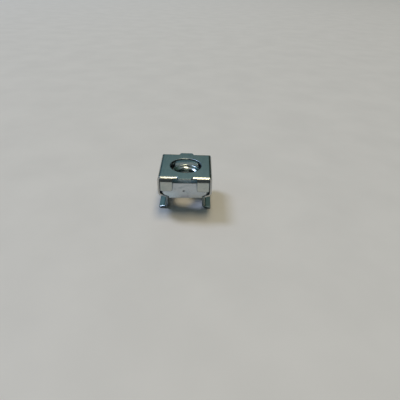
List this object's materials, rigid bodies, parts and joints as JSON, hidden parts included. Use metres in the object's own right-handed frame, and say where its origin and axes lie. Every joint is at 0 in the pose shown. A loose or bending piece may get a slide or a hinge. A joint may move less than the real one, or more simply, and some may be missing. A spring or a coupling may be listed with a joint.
{
  "type": "rack cage nut",
  "caption": "Folded spring-steel cage that holds a loose bevelled nut over a round hole; its two flared wings snap into a square rack hole.",
  "frame": {"origin": "where the thread's axis meets the plane that the two feet stand on", "axes": "+Z along the thread's axis from the feet to the top plate, X across the two wings and side walls, Y from tab side to tab side"},
  "size_m": [0.0126, 0.0138, 0.0095],
  "materials": {
    "cage_zinc": "zinc-plated spring sheet, blue passivated, rolled grain and faint handling marks",
    "nut_zinc": "zinc-plated steel, satin, slightly pitted"
  },
  "bodies": {
    "root": {"spring_cage": "cage_zinc", "floating_nut": "nut_zinc"}
  },
  "joints": []
}
